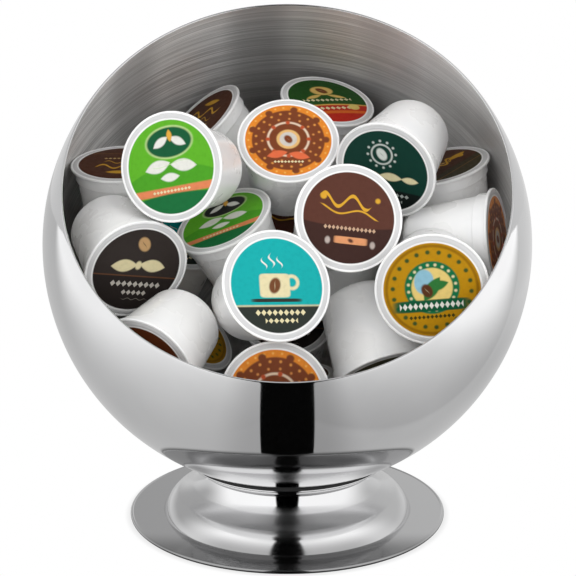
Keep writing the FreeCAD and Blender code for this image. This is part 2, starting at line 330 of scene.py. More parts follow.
def brushedSteel(name, look):
    # satin steel brushed round the mouth's axis, which is the object's Z
    paint = Paint(name)
    x, y, z = paint.split(paint.object())
    turnX, turnY, _ = paint.split(paint.vector("NORMALIZE", paint.join(x, y)))
    tall = paint.join(turnX, turnY, paint.math("MULTIPLY", z, look["lines"]))
    fine = paint.noise(tall, 1.6, 4.0, 0.65)
    broad = paint.noise(tall, 0.35, 3.0, 0.5)
    both = paint.math("MULTIPLY_ADD", fine, 0.7, paint.math("MULTIPLY", broad, 0.3))
    paint.cover(None, tinted(look["dark"]))
    paint.cover(paint.span(both, 0.38, 0.62), tinted(look["bright"]))
    # painted dark reflections: darker lobes round the axis
    turn = paint.math("ARCTAN2", y, x)
    angle = paint.math("MULTIPLY_ADD", turn, look["paintedLobes"], math.radians(look["paintedLobeTurn"]))
    paintedLobes = paint.span(paint.math("COSINE", angle), 0.3, -1.0, 0.0, look["paintedLobeShare"])
    paint.cover(paintedLobes, tinted(look["paintedLobeTone"]))
    # painted highlight: brighter to the right
    paint.cover(paint.spanMm(x, look["highlightSideFrom"], 0.0, look["highlightSideShare"]), tinted(look["highlightSideTone"]))
    # painted shade: the depth is darker still
    paint.cover(paint.spanMm(z, look["shadeDeepFrom"], 0.0, look["shadeDeepShare"]), tinted(look["shadeDeepTone"]))
    tangent = paint.add("ShaderNodeTangent", direction_type="RADIAL", axis="Z")
    return paint.finish(
        Metallic=1.0,
        Roughness=paint.span(both, 0.3, 0.7, *look["roughness"]),
        Anisotropic=look["brushed"],
        Anisotropic_Rotation=0.25,
        Tangent=tangent.outputs[0],
        Normal=paint.bump(both, 0.00002, 0.5),
    )


# Bowl, in millimetres about its own centre, Z along the mouth's normal
bowl = {
    "centre": (0.0, -axisForward, 138.5),
    "tilt": 40.4,           # degrees that the mouth's normal rises
    "outer": 120.0,
    "wall": 1.0,
    "mouth": 62.0,          # from the centre to the mouth's plane
    "rimRound": 0.4,
    "boltHole": 3.3,
    "holeTop": 40.0,        # the drill stops at this height
    "tone": (0.66, 0.66, 0.665),
    "cloudTone": 0.93,
    "roughness": 0.055,
    "spin": 2600.0,         # fineness of the polishing marks
    "cloud": 18.0,          # and of the slow changes of tone
}

# Brushed inside of the bowl; places in millimetres from the bowl's centre, shares from 0 to 1
brushed = {
    "dark": (0.62, 0.61, 0.60),
    "bright": (0.94, 0.93, 0.92),
    "lines": 900.0,         # fineness of the brushing
    # painted dark reflections: lobes round the axis, their turn, tone and share
    "paintedLobes": 10.0,
    "paintedLobeTurn": -800.0,     # degrees
    "paintedLobeTone": (0.30, 0.295, 0.29),
    "paintedLobeShare": 0.45,
    "highlightSideFrom": (10.0, 70.0),       # painted highlight, brighter to the right
    "highlightSideTone": (0.98, 0.97, 0.96),
    "highlightSideShare": 0.4,
    "shadeDeepFrom": (-2.0, -34.0),      # painted shade, darker into the depth
    "shadeDeepTone": (0.12, 0.12, 0.12),
    "shadeDeepShare": 0.3,
    "roughness": (0.50, 0.62),
    "brushed": 0.8,
}


def sphereArc(radius, fromAngle, toAngle, steps=150):
    points = []
    for step in range(steps + 1):
        angle = fromAngle + (toAngle - fromAngle) * step / steps
        points.append((radius * math.sin(angle), radius * math.cos(angle)))
    return points


def makeBowl():
    outer, inner = bowl["outer"], bowl["outer"] - bowl["wall"]
    mouth, rim = bowl["mouth"], bowl["rimRound"]
    depth = mouth - rim
    outCentre = (math.sqrt((outer - rim) ** 2 - depth ** 2), depth)
    inCentre = (math.sqrt((inner + rim) ** 2 - depth ** 2), depth)
    outTangent = tuple(value * outer / (outer - rim) for value in outCentre)
    inTangent = tuple(value * inner / (inner + rim) for value in inCentre)
    profile = sphereArc(outer, math.pi, math.atan2(*outTangent))
    profile[0] = (0.0, -outer)
    profile += arcBetween(outTangent, (outCentre[0], mouth), rim, -1, 6)
    profile += arcBetween((inCentre[0], mouth), inTangent, rim, -1, 6)
    profile += sphereArc(inner, math.atan2(*inTangent), math.pi)[1:]
    profile[-1] = (0.0, -inner)
    mesh = lathe("bowl", profile, segments["bowl"])
    mesh.set_sharp_from_angle(angle=math.radians(60))
    outside, inside = polishedSteel("polished bowl", bowl), brushedSteel("satin bowl", brushed)
    thing = addObject("bowl", mesh, outside, inside)
    for face in mesh.polygons:
        face.material_index = 1 if face.center.length < (inner + 0.25) * mm else 0
    tilt = Matrix.Rotation(math.radians(90 - bowl["tilt"]), 4, "X")
    thing.matrix_world = Matrix.Translation(Vector(bowl["centre"]) * mm) @ tilt
    drillOut(thing, bowl["boltHole"], bowl["holeTop"])
    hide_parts("bowl_shell")
    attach(thing, "basket")


# Pedestal, in millimetres: radii of arcs, radii from the axis, and (radius, height) points
pedestal = {
    "dish": 121.2,          # arc of the seat under the bowl
    "sheet": 0.8,
    "hole": 3.3,
    "lip": 50.0,
    "lipSoft": 0.18,
    "cove": 16.0,           # arc from the lip to the waist
    "waist": (44.5, 23.2),
    "flare": 24.6,          # arc from the waist to the crease
    "crease": (52.5, 12.6),
    "creaseSoft": 4.6,      # reach of the valley's rounding
    "dome": 16.4,           # arc from the crease to the flange
    "skirt": 64.2,
    "flangeTop": 1.6,
    "reach": 80.3,
    "roll": 1.0,            # rolled edge
    "tone": (0.73, 0.73, 0.735),
    "cloudTone": 0.93,
    "roughness": 0.05,
    "spin": 2200.0,
    "cloud": 18.0,
    # painted shade on the flange: darker all round, and darker still in front
    "flangeShadeTone": 0.88,
    "flangeHaze": 0.06,     # added roughness
    "shadeFrontFrom": (-35.0, -58.0),    # painted shade darkens the flange between these, going forward
    "shadeFrontTone": 0.30,
    "shadeFrontShare": 0.8,
    "valleyRadius": (63.0, 56.0),   # the satin sets in between these, going inward
    "valleyHeight": (20.0, 16.0),   # and going down
    "valleyHaze": 0.16,
}


def sphereHeight(radius, across):
    return bowl["centre"][2] - math.sqrt(radius ** 2 - across ** 2)


def softened(points, corner, reach):
    # rounds one corner of a profile: points within reach of it give way to a smooth curve
    first = last = min(range(len(points)), key=lambda i: math.dist(points[i], corner))
    while math.dist(points[first], corner) < reach:
        first -= 1
    while math.dist(points[last], corner) < reach:
        last += 1
    start, end = points[first], points[last]
    curve = []
    for step in range(1, 12):
        t = step / 12
        curve.append(tuple((1 - t) ** 2 * a + 2 * t * (1 - t) * b + t * t * c
                           for a, b, c in zip(start, corner, end)))
    return points[:first + 1] + curve + points[last:]


def makePedestal():
    p = pedestal
    sheet, reach, roll, flangeTop = p["sheet"], p["reach"], p["roll"], p["flangeTop"]
    under = p["dish"] + sheet
    lipTop = (p["lip"], sphereHeight(p["dish"], p["lip"]))
    lipFoot = (p["lip"], lipTop[1] - sheet)
    skirtFoot = flangeTop - sheet
    inWaist = (p["waist"][0] - sheet, p["waist"][1] - sheet / 2)
    inCrease = (p["crease"][0] - sheet, p["crease"][1] - sheet / 2)
    inSkirt = (p["skirt"] - sheet, skirtFoot)
    dishEdge = (inWaist[0], sphereHeight(under, inWaist[0]))
    soft, hole = p["lipSoft"], p["hole"]
    lipStart = (lipTop[0] - soft, sphereHeight(p["dish"], lipTop[0] - soft))
    profile = [(hole, sphereHeight(p["dish"], hole))]
    profile += arcBetween(profile[-1], lipStart, p["dish"], -1, 40)
    profile += [(lipTop[0] - soft * 0.3, lipTop[1] - soft * 0.25), (lipTop[0], lipTop[1] - soft)]
    profile += [(lipFoot[0], lipFoot[1] + soft), (lipFoot[0] - soft * 0.3, lipFoot[1] + soft * 0.2)]
    profile += arcBetween(profile[-1], p["waist"], p["cove"], -1, 24)
    profile += arcBetween(profile[-1], p["crease"], p["flare"], -1, 48)
    profile += arcBetween(profile[-1], (p["skirt"], flangeTop), p["dome"], 1, 48)
    width = reach - p["skirt"]
    profile += [(p["skirt"] + width * step / 8, flangeTop) for step in range(1, 8)]
    profile += [(reach - 0.5, flangeTop), (reach - 0.2, flangeTop + 0.2), (reach, 2 * roll)]
    profile += arcBetween(profile[-1], (reach + roll, roll), roll, 1, 8)
    profile += arcBetween(profile[-1], (reach, 0.0), roll, 1, 8)
    profile += [(reach, skirtFoot), inSkirt]
    profile += arcBetween(inSkirt, inCrease, p["dome"], -1, 24)
    profile += arcBetween(inCrease, inWaist, p["flare"], 1, 24)
    profile += [dishEdge]
    profile += arcBetween(dishEdge, (hole, sphereHeight(under, hole)), under, 1, 24)
    profile = softened(profile, p["crease"], p["creaseSoft"])
    mesh = lathe("pedestal", profile, segments["bowl"], closed=True)
    thing = addObject("pedestal", mesh, polishedSteel("polished foot", pedestal))
    thing.location.y = -axisForward * mm
    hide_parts("pedestal_foot")
    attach(thing, "basket")


makeBowl()
makePedestal()
print("bowl and pedestal ready")


# Fixings and rubber keep the frame's meshes: tone and roughness of each finish, and its pieces
fixings = {
    "zinc plate": ((0.55, 0.56, 0.58), 0.35, ["clamp_plate"]),
    "plated fixing": ((0.62, 0.62, 0.64), 0.22,
                      ["centre_bolt", "bowl_washer", "lock_washer", "clamp_nut"]),
}
rubbers = {
    "seat rubber": (0.012, 0.75, ["seat_gasket"]),
    "pad rubber": (0.03, 0.75, ["foot_pads"]),
}


def fixingSteel(name, tone, rough):
    paint = Paint(name)
    grain = paint.noise(paint.object(), 900.0, 3.0, 0.6)
    paint.cover(None, tinted(tone))
    paint.cover(paint.span(grain, 0.3, 0.7), tinted(tone, 0.85))
    roughness = paint.span(grain, 0.3, 0.7, rough, rough * 1.5)
    return paint.finish(Metallic=1.0, Roughness=roughness, Normal=paint.bump(grain, 0.00001, 0.4))


def softRubber(name, tone, rough):
    paint = Paint(name)
    grain = paint.noise(paint.object(), 2200.0, 2.0, 0.6)
    paint.cover(None, tinted([tone] * 3))
    paint.cover(paint.span(grain, 0.4, 0.7), tinted([tone] * 3, 1.9))
    return paint.finish(Roughness=rough, Normal=paint.bump(grain, 0.00004, 0.6))


def dress(material, pieces):
    for name in pieces:
        mesh = nodes[name].data
        mesh.materials.clear()
        mesh.materials.append(material)


for name, (tone, rough, pieces) in fixings.items():
    dress(fixingSteel(name, tone, rough), pieces)
for name, (tone, rough, pieces) in rubbers.items():
    dress(softRubber(name, tone, rough), pieces)
print("steel and rubber ready")

# Pod, in millimetres, its lid's plane at zero and its base below
pod = {
    "height": 44.0,
    "label": 21.6,          # radius of the print
    "foil": 24.4,
    "foilDrop": 0.3,
    "rim": 25.5,
    "rimThick": 1.5,
    "rimRound": 0.45,
    "collar": 23.3,
    "collarFillet": 0.5,
    "collarDrop": 7.5,
    "collarRound": 0.35,
    "body": 22.4,
    "base": 19.0,
    "baseRound": 4.5,
    "recess": 12.5,
    "recessDepth": 1.0,
    "edge": 0.3,
    "warmWhite": (0.90, 0.898, 0.89),
    "coolWhite": (0.865, 0.867, 0.87),
    "roughness": (0.24, 0.34),
    "coat": 0.15,
    "coatRoughness": 0.12,
}


def podPlastic():
    # white moulded plastic: faint ripples down the wall, fine grain, slight warm and cool drift
    paint = Paint("pod plastic")
    here = paint.object()
    shifted = paint.vector("ADD", here, paint.add("ShaderNodeObjectInfo").outputs["Random"])
    cloud = paint.noise(shifted, 60.0, 3.0)
    grain = paint.noise(here, 1500.0, 2.0)
    ripple = paint.noise(shifted, 140.0, 2.0)
    paint.cover(None, tinted(pod["warmWhite"]))
    paint.cover(paint.span(cloud, 0.35, 0.7), tinted(pod["coolWhite"]))
    height = paint.math("MULTIPLY_ADD", grain, 0.12, ripple)
    return paint.finish(
        Roughness=paint.span(cloud, 0.3, 0.7, *pod["roughness"]),
        Normal=paint.bump(height, 0.00004, 0.15),
        Coat_Weight=pod["coat"],
        Coat_Roughness=pod["coatRoughness"],
    )


def withArc(start, end, radius, side, steps):
    return [start] + arcBetween(start, end, radius, side, steps)


def cupMesh():
    p = pod
    foil, drop, rim, collar = p["foil"], p["foilDrop"], p["rim"], p["collar"]
    body, base, recess, edge = p["body"], p["base"], p["recess"], p["edge"]
    rimRound, fillet, collarRound = p["rimRound"], p["collarFillet"], p["collarRound"]
    rimFoot, collarFoot, bottom = -p["rimThick"], -p["collarDrop"], -p["height"]
    wallTop, baseTop = collarFoot - collarRound, bottom + p["baseRound"]
    recessTop = bottom + p["recessDepth"]
    profile = [(0.0, -drop), (foil, -drop), (foil + 0.02, -0.12), (foil + 0.15, -0.02)]
    profile += withArc((rim - rimRound, 0.0), (rim, -rimRound), rimRound, 1, 6)
    profile += withArc((rim, rimFoot + rimRound), (rim - rimRound, rimFoot), rimRound, 1, 6)
    profile += withArc((collar + fillet, rimFoot), (collar, rimFoot - fillet), fillet, -1, 5)
    collarEnd = (collar - collarRound, collarFoot)
    profile += withArc((collar, collarFoot + collarRound), collarEnd, collarRound, 1, 5)
    profile += withArc((body + edge, collarFoot), (body, wallTop), collarRound, -1, 4)
    for step in range(1, 10):
        share = step / 10
        profile.append((body + (base - body) * share, wallTop + (baseTop - wallTop) * share))
    profile += withArc((base, baseTop), (base - p["baseRound"], bottom), p["baseRound"], 1, 12)
    profile += withArc((recess + edge, bottom), (recess, bottom + edge), edge, 1, 4)
    profile += [(recess, recessTop - 0.2), (recess - 0.25, recessTop), (0.0, recessTop)]
    return lathe("pod cup", profile, segments["pod"])


def lidMesh():
    # a flat label inside a pressed groove and a raised seam, on the foil's own thickness
    foil, label, under = pod["foil"], pod["label"], -pod["foilDrop"]
    profile = [(0.0, -0.06), (label * 0.5, -0.06), (label - 0.5, -0.06), (label, -0.08)]
    profile += [(label + 0.25, -0.17), (label + 0.5, -0.12), (label + 0.8, -0.02)]
    profile += [(foil - 1.0, -0.02), (foil - 0.7, -0.12), (foil - 0.3, -0.15)]
    profile += [(foil, -0.22), (foil, under), (0.0, under)]
    mesh = lathe("pod lid", profile, segments["pod"])
    layer = mesh.uv_layers.new(name="label")
    for loop in mesh.loops:
        corner = mesh.vertices[loop.vertex_index].co
        layer.data[loop.index].uv = (corner.x / (label * mm), corner.y / (label * mm))
    return mesh


# Foil that carries the prints
foilLook = {
    "bare": (0.83, 0.83, 0.82),
    "seam": (0.60, 0.60, 0.605),
    "shine": 0.12,
    "roughness": (0.30, 0.40),
    "crinkle": 0.0003,      # m
    "printEdge": 0.022,     # how soft, over the label's radius
}


class Print(Paint):
    # a print on white foil: places and sizes over the label's radius, turns in degrees
    def __init__(self, name, ground):
        super().__init__(name)
        flat = self.add("ShaderNodeUVMap")
        flat.uv_map = "label"
        self.flat = flat.outputs[0]
        self.soft = foilLook["printEdge"]
        self.cover(None, ground)

    def ellipse(self, colour, centre, size, turn=0.0):
        local = self.place(self.flat, centre, turn, size)
        edge = self.soft / min(size)
        self.cover(self.span(self.vector("LENGTH", local), 1 + edge, 1 - edge), colour)

    def block(self, colour, centre, size, turn=0.0):
        local = self.vector("ABSOLUTE", self.place(self.flat, centre, turn, size))
        square = self.vector("MULTIPLY", local, local)
        fourth = self.vector("MULTIPLY", square, square)
        eighth = self.vector("MULTIPLY", fourth, fourth)
        total = self.vector("DOT_PRODUCT", eighth, (1, 1, 0))
        edge = 6 * self.soft / min(size)
        self.cover(self.span(total, 1 + edge, max(1 - edge, 0.1)), colour)

    def leaf(self, colour, centre, size, turn=0.0):
        # a pointed oval: where two circles overlap
        local = self.place(self.flat, centre, turn, size)
        x, y, _ = self.split(local)
        bow = self.math("MULTIPLY_ADD", self.math("MULTIPLY", x, x), -1.0, 1.0)
        edge = self.soft / size[1]
        gap = self.math("SUBTRACT", bow, self.math("ABSOLUTE", y))
        self.cover(self.span(gap, -edge, edge), colour)

    def band(self, colour, low, high, turn=0.0, bend=0.0):
        local = self.place(self.flat, (0, 0), turn)
        x, y, _ = self.split(local)
        if bend:
            y = self.math("MULTIPLY_ADD", self.math("MULTIPLY", x, x), bend, y)
        above = self.span(y, low - self.soft, low + self.soft)
        below = self.span(y, high + self.soft, high - self.soft)
        self.cover(self.math("MULTIPLY", above, below), colour)

    def ring(self, colour, centre, radius, width):
        local = self.place(self.flat, centre)
        away = self.math("ABSOLUTE", self.math("SUBTRACT", self.vector("LENGTH", local), radius))
        self.cover(self.span(away, width / 2 + self.soft, width / 2 - self.soft), colour)

    def wave(self, colour, centre, length, swing, period, width, turn=0.0):
        local = self.place(self.flat, centre, turn)
        x, y, _ = self.split(local)
        phase = self.math("MULTIPLY", x, 2 * math.pi / period)
        line = self.math("MULTIPLY", self.math("SINE", phase), swing)
        away = self.math("ABSOLUTE", self.math("SUBTRACT", y, line))
        taper = self.span(self.math("ABSOLUTE", x), length / 2, length / 2 - 0.18, 0.0, width / 2)
        mask = self.span(self.math("SUBTRACT", taper, away), 0.0, self.soft)
        self.cover(mask, colour)

    def dots(self, colour, count, radius, size, phase=0.0, centre=(0, 0)):
        local = self.place(self.flat, centre)
        x, y, _ = self.split(local)
        turn = self.math("ARCTAN2", y, x)
        angle = self.math("MULTIPLY_ADD", turn, count / (2 * math.pi), phase + 100.5)
        along = self.math("SUBTRACT", self.math("FRACT", angle), 0.5)
        arc = self.math("MULTIPLY", along, 2 * math.pi * radius / count)
        away = self.math("SUBTRACT", self.vector("LENGTH", local), radius)
        distance = self.vector("LENGTH", self.join(arc, away))
        self.cover(self.span(distance, size + self.soft, size - self.soft), colour)

    def dashes(self, colour, centre, length, height, count, turn=0.0):
        # a row of upright lozenges, as a decorative band
        local = self.place(self.flat, centre, turn)
        x, y, _ = self.split(local)
        pitch = length / count
        place = self.math("MULTIPLY_ADD", x, 1 / pitch, 50.5)
        along = self.math("SUBTRACT", self.math("FRACT", place), 0.5)
        sideways = self.math("MULTIPLY", self.math("ABSOLUTE", along), 2.2)
        upright = self.math("DIVIDE", self.math("ABSOLUTE", y), height / 2)
        shape = self.span(self.math("ADD", sideways, upright), 1.12, 0.88)
        ends = self.span(self.math("ABSOLUTE", x), length / 2 + 0.01, length / 2 - 0.01)
        self.cover(self.math("MULTIPLY", shape, ends), colour)

    def bean(self, colour, seam, centre, size, turn=0.0):
        wide, tall = size
        self.ellipse(colour, centre, size, turn)
        self.wave(seam, centre, tall * 2.1, wide * 0.16, tall * 2.0, wide * 0.26, turn + 90)

    def done(self):
        # the print ends at the label's edge; beyond it the foil is bare and pale
        away = self.vector("LENGTH", self.flat)
        paper = self.noise(self.flat, 9.0, 3.0)
        self.cover(self.span(paper, 0.4, 0.8, 0.18, 0.26), (0.0, 0.0, 0.0, 1))
        self.cover(self.span(away, 0.985, 1.005), tinted(foilLook["bare"]))
        self.cover(self.span(away, 1.025, 1.04), tinted(foilLook["seam"]))
        crease = self.noise(self.flat, 3.0, 3.0, 0.6)
        grain = self.noise(self.flat, 90.0, 2.0)
        height = self.math("MULTIPLY_ADD", grain, 0.03, crease)
        return self.finish(
            Roughness=self.span(paper, 0.3, 0.7, *foilLook["roughness"]),
            Specular_IOR_Level=foilLook["shine"],
            Normal=self.bump(height, foilLook["crinkle"], 0.12),
        )


white = shade(240, 240, 232)
cream = shade(238, 226, 180)
gold = shade(226, 170, 48)
black = shade(22, 24, 24)


def leafPrint(name, tilt, dark):
    p = Print(name, shade(98, 184, 38))
    p.band(shade(78, 166, 34), -1.2, 0.05, tilt, 0.25)
    p.band(shade(233, 138, 92), -0.58, -0.42, tilt)
    p.band(shade(18, 112, 58), -1.2, -0.56, tilt, 0.10)
    p.ellipse(shade(196, 226, 150), (-0.06, 0.52), (0.56, 0.35), tilt)
    p.ellipse(dark, (-0.06, 0.52), (0.525, 0.315), tilt)
    p.leaf(white, (-0.26, 0.50), (0.20, 0.085), tilt + 28)
    p.leaf(white, (0.14, 0.56), (0.20, 0.085), tilt - 30)
    p.leaf(shade(232, 174, 66), (-0.06, 0.66), (0.13, 0.06), tilt + 90)
    p.leaf(white, (-0.30, -0.02), (0.30, 0.13), tilt + 10)
    p.leaf(white, (0.30, 0.06), (0.30, 0.13), tilt - 10)
    p.leaf(white, (0.0, -0.22), (0.22, 0.09), tilt)
    p.wave(shade(206, 236, 176), (0.0, 0.06), 1.1, 0.04, 1.1, 0.03, tilt)
    p.dashes(cream, (0.05, -0.50), 0.9, 0.07, 11, tilt)
    return p.done()


def tealPrint(name, tilt=-4):
    slate = shade(46, 52, 46)
    p = Print(name, shade(0, 178, 178))
    p.band(slate, -1.2, -0.42, tilt)
    p.band(cream, -0.44, -0.415, tilt)
    p.block(cream, (-0.05, 0.0), (0.33, 0.25), tilt)
    p.ring(cream, (0.33, 0.04), 0.13, 0.07)
    p.block(slate, (-0.05, -0.31), (0.48, 0.032), tilt)
    p.bean(shade(120, 72, 40), cream, (-0.05, 0.0), (0.12, 0.17), tilt - 20)
    p.wave(white, (-0.22, 0.48), 0.36, 0.05, 0.30, 0.07, 90)
    p.wave(white, (-0.05, 0.53), 0.42, 0.05, 0.30, 0.07, 90)
    p.wave(white, (0.12, 0.48), 0.36, 0.05, 0.30, 0.07, 90)
    p.dashes(cream, (0.0, -0.57), 1.1, 0.13, 9, tilt)
    p.dashes(cream, (0.0, -0.74), 0.7, 0.11, 6, tilt)
    return p.done()


def charcoalPrint(name, tilt=-10):
    coal = shade(56, 49, 46)
    ash = shade(206, 200, 190)
    p = Print(name, coal)
    p.band(shade(46, 40, 38), -1.2, -0.14, tilt)
    p.band(shade(140, 92, 60), -0.16, -0.145, tilt)
    p.bean(shade(206, 166, 116), coal, (0.12, 0.62), (0.13, 0.18), 20)
    p.leaf(cream, (-0.30, 0.14), (0.30, 0.15), tilt + 6)
    p.leaf(cream, (0.36, 0.06), (0.30, 0.15), tilt - 4)
    p.ellipse(cream, (0.03, 0.11), (0.07, 0.10), tilt)
    p.dashes(ash, (0.0, -0.36), 1.2, 0.15, 9, tilt)
    p.dashes(ash, (-0.02, -0.57), 0.6, 0.13, 5, tilt)
    p.wave(shade(170, 162, 150), (0.0, -0.74), 0.8, 0.02, 0.2, 0.03, tilt)
    return p.done()


def brownPrint(name, tilt=-8):
    cocoa = shade(94, 54, 42)
    clay = shade(230, 158, 108)
    stone = shade(190, 176, 168)
    p = Print(name, cocoa)
    p.band(shade(64, 38, 32), -1.2, -0.22, tilt, -0.08)
    p.wave(gold, (-0.05, 0.36), 1.25, 0.13, 0.62, 0.10, tilt - 2)
    p.wave(gold, (0.02, 0.12), 1.45, 0.07, 0.95, 0.06, tilt - 6)
    p.ellipse(gold, (-0.52, 0.50), (0.07, 0.07))
    p.ellipse(gold, (0.66, 0.34), (0.055, 0.055))
    p.dashes(shade(206, 170, 140), (0.0, -0.24), 1.15, 0.10, 13, tilt)
    p.block(clay, (0.0, -0.50), (0.34, 0.075), tilt)
    p.bean(cocoa, clay, (0.0, -0.50), (0.04, 0.06), 60)
    p.ellipse(stone, (-0.50, -0.46), (0.055, 0.075), tilt)
    p.ellipse(stone, (0.47, -0.62), (0.055, 0.075), tilt)
    return p.done()


def mustardPrint(name, tilt=6):
    grass = shade(52, 124, 60)
    p = Print(name, shade(196, 144, 16))
    p.ring(shade(160, 112, 12), (0, 0), 0.93, 0.06)
    p.dots(shade(66, 88, 40), 22, 0.80, 0.045)
    p.ellipse(shade(22, 116, 72), (0, 0.05), (0.56, 0.56))
    p.dots(cream, 20, 0.485, 0.028, 0.3, (0, 0.05))
    p.ellipse(shade(242, 214, 128), (0, 0.05), (0.42, 0.42))
    p.ellipse(shade(150, 200, 220), (-0.17, 0.17), (0.20, 0.26))
    p.leaf(grass, (0.0, 0.02), (0.30, 0.13), 60)
    p.leaf(grass, (0.12, 0.10), (0.22, 0.10), 20)
    p.bean(shade(96, 56, 34), cream, (-0.10, -0.02), (0.11, 0.15), 30)
    p.block(shade(16, 92, 58), (0.0, -0.33), (0.76, 0.125), tilt)
    p.dashes(white, (0.0, -0.33), 1.3, 0.15, 12, tilt)
    p.dashes(shade(70, 66, 20), (0.02, -0.57), 0.95, 0.09, 11, tilt)
    return p.done()


def pinePrint(name, tilt=-10):
    pine = shade(17, 60, 50)
    frost = shade(222, 228, 222)
    p = Print(name, pine)
    p.band(shade(18, 26, 24), -1.2, -0.44, tilt)
    p.ring(frost, (-0.02, 0.42), 0.24, 0.035)
    p.dots(frost, 12, 0.33, 0.026, 0, (-0.02, 0.42))
    p.bean(frost, pine, (-0.02, 0.42), (0.11, 0.155), 24)
    p.leaf(cream, (-0.34, -0.10), (0.26, 0.10), tilt)
    p.leaf(cream, (0.12, -0.14), (0.26, 0.10), tilt)
    p.leaf(cream, (0.56, -0.22), (0.20, 0.08), tilt)
    p.dashes(shade(180, 188, 182), (0.0, -0.56), 1.0, 0.10, 9, tilt)
    p.dashes(shade(150, 158, 152), (0.02, -0.72), 0.6, 0.08, 6, tilt)
    return p.done()


def orangePrint(name, turn=0.0):
    chestnut = shade(128, 66, 36)
    coral = shade(232, 112, 70)
    p = Print(name, shade(238, 142, 44))
    p.dots(shade(250, 190, 96), 30, 0.92, 0.022, turn)
    p.ellipse(chestnut, (0, 0), (0.84, 0.84))
    p.dots(shade(232, 156, 74), 21, 0.75, 0.028, turn)
    p.dots(chestnut, 9, 0.865, 0.085, turn)
    p.dots(shade(226, 150, 80), 15, 0.60, 0.026, turn + 0.4)
    p.ring(shade(240, 214, 186), (0, 0.02), 0.47, 0.05)
    p.dots(shade(196, 84, 44), 8, 0.47, 0.05, turn, (0, 0.02))
    p.ellipse(shade(238, 190, 120), (0, 0.02), (0.27, 0.27))
    p.ellipse(shade(214, 208, 200), (0, 0.02), (0.20, 0.20))
    p.bean(chestnut, shade(226, 220, 210), (0, 0.02), (0.085, 0.12), 30)
    p.leaf(coral, (-0.26, -0.40), (0.24, 0.10), 14)
    p.leaf(coral, (0.24, -0.44), (0.24, 0.10), -14)
    p.dashes(cream, (0, -0.61), 0.7, 0.07, 9)
    return p.done()


def redPrint(name, tilt=0):
    straw = shade(236, 198, 110)
    p = Print(name, shade(36, 84, 30))
    p.band(shade(196, 42, 26), -1.2, -0.20, tilt, 0.12)
    p.band(shade(236, 190, 96), -0.22, -0.17, tilt, 0.12)
    p.band(shade(226, 110, 40), -0.60, -0.48, tilt, 0.12)
    p.ellipse(straw, (0.02, 0.46), (0.30, 0.20))
    p.bean(shade(120, 62, 30), cream, (0.02, 0.46), (0.10, 0.16), 50)
    p.leaf(straw, (-0.30, 0.18), (0.24, 0.06), 20)
    p.leaf(straw, (0.32, 0.18), (0.24, 0.06), -20)
    p.dashes(cream, (0, 0.02), 1.3, 0.12, 10, tilt)
    p.dashes(cream, (0, -0.36), 1.3, 0.14, 9, tilt)
    p.ellipse(cream, (-0.62, -0.30), (0.12, 0.14))
    p.ellipse(shade(240, 214, 120), (0.58, -0.34), (0.14, 0.13))
    return p.done()


def goldPrint(name, tilt=0, olive=False):
    p = Print(name, shade(84, 46, 28))
    if olive:
        p.band(shade(62, 56, 34), -1.2, -0.40, tilt)
    p.wave(gold, (0.0, 0.22), 1.3, 0.12, 0.55, 0.10, tilt)
    p.wave(gold, (0.0, -0.06), 1.0, 0.08, 0.42, 0.06, tilt)
    p.leaf(gold, (0.0, 0.58), (0.30, 0.09), tilt)
    p.dashes(shade(214, 176, 110), (0.0, -0.30), 0.9, 0.09, 9, tilt)
    p.band(shade(160, 112, 60), -0.62, -0.60, tilt)
    return p.done()


def darkPrint(name, ground, accent):
    p = Print(name, ground)
    p.band(accent, -0.30, -0.22, 8)
    p.ring(accent, (0, 0.28), 0.26, 0.04)
    p.bean(accent, ground, (0, 0.28), (0.12, 0.17), 30)
    p.dashes(cream, (0, -0.48), 0.9, 0.10, 8, 8)
    return p.done()


deepGreen = shade(12, 92, 54)
lidPrints = {
    "leaf_green_pod": leafPrint("leaf print", 12, deepGreen),
    "small_green_pod": leafPrint("leaf print dark", 12, black),
    "right_floor_pod": leafPrint("leaf print spare", 0, deepGreen),
    "teal_pod": tealPrint("teal print"),
    "left_back_pod": tealPrint("teal print spare"),
    "charcoal_pod": charcoalPrint("charcoal print"),
    "back_floor_pod": charcoalPrint("charcoal print spare"),
    "wave_brown_pod": brownPrint("wave print"),
    "back_wall_pod": brownPrint("wave print spare"),
    "mustard_pod": mustardPrint("mustard print"),
    "left_floor_pod": mustardPrint("mustard print spare"),
    "pine_green_pod": pinePrint("pine print"),
    "middle_pod": pinePrint("pine print spare"),
    "ring_orange_pod": orangePrint("ring print"),
    "front_ring_pod": orangePrint("ring print front", 0.3),
    "side_orange_pod": orangePrint("ring print side", 0.6),
    "red_band_pod": redPrint("red band print"),
    "gold_stripe_pod": goldPrint("gold print"),
    "left_wall_pod": goldPrint("gold print left"),
    "right_wall_pod": goldPrint("gold print right", 90, True),
    "floor_pod": goldPrint("gold print spare"),
    "lower_left_pod": darkPrint("rust print", shade(92, 44, 20), shade(214, 128, 44)),
    "lower_right_pod": darkPrint("olive print", shade(66, 64, 36), shade(170, 160, 90)),
}
print("prints ready:", len(lidPrints))

# How far each print is turned on its pod, in degrees
printTurns = {
    "small_green_pod": 30,
    "gold_stripe_pod": 20,
    "left_wall_pod": 180,
    "side_orange_pod": 30,
}


def middleOf(thing):
    # the centre of a closed surface of revolution, from its faces and their areas
    mesh = thing.data
    total, weight = Vector(), 0.0
    for face in mesh.polygons:
        total += face.center * face.area
        weight += face.area
    return thing.matrix_world @ (total / weight)


def podMatrix(name):
    lid, cup = middleOf(nodes[f"{name}_lid"]), middleOf(nodes[f"{name}_cup"])
    facing = (lid - cup).normalized()
    across = Vector((0, 0, 1)).cross(facing)
    across = across.normalized() if across.length > 1e-3 else Vector((1, 0, 0))
    up = facing.cross(across)
    turn = Matrix((across, up, facing)).transposed().to_4x4()
    top = lid + facing * 0.15 * mm   # half the foil's thickness
    spin = Matrix.Rotation(math.radians(printTurns.get(name, 0)), 4, "Z")
    return Matrix.Translation(top) @ turn @ spin


